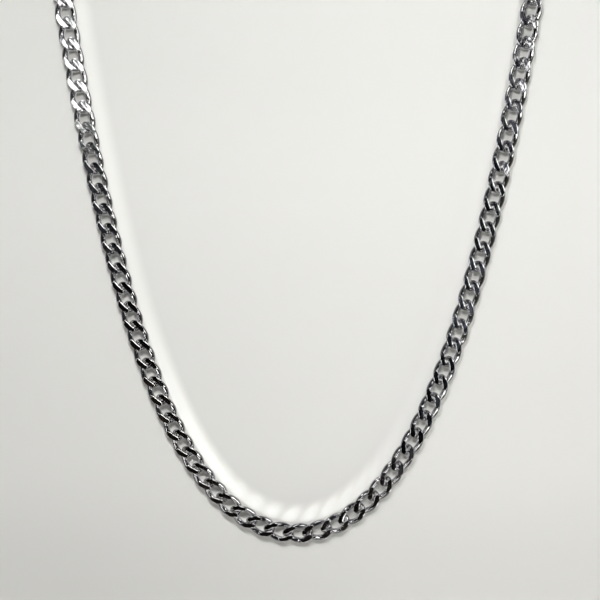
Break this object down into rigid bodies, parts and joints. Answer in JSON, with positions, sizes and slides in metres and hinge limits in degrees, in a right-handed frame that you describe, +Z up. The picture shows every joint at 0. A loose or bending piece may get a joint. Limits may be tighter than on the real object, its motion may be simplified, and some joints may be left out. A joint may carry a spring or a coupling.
{
  "type": "curb chain necklace",
  "caption": "Flat-cut curb chain necklace of interlocked twisted oval links, hanging in a narrow loop and closed at the back by two jump rings and a claw clasp.",
  "frame": {"origin": "on the inside edge of the loop's top, midway between the two sides, where the necklace lies on the back of a neck", "axes": "+Z up along the hanging chain, -Y towards the viewer who sees the cut faces of the picture, +X to that viewer's right"},
  "size_m": [0.1199, 0.0064, 0.2029],
  "materials": {
    "links": "mirror-polished stainless steel, wire bent and twisted, cut flat on its front",
    "clasp": "polished cast stainless steel",
    "rings": "polished stainless steel wire"
  },
  "bodies": {
    "root": {"left_strand": "links", "right_strand": "links", "clasp": "clasp", "clasp_ring": "rings", "end_ring": "rings"}
  },
  "joints": []
}
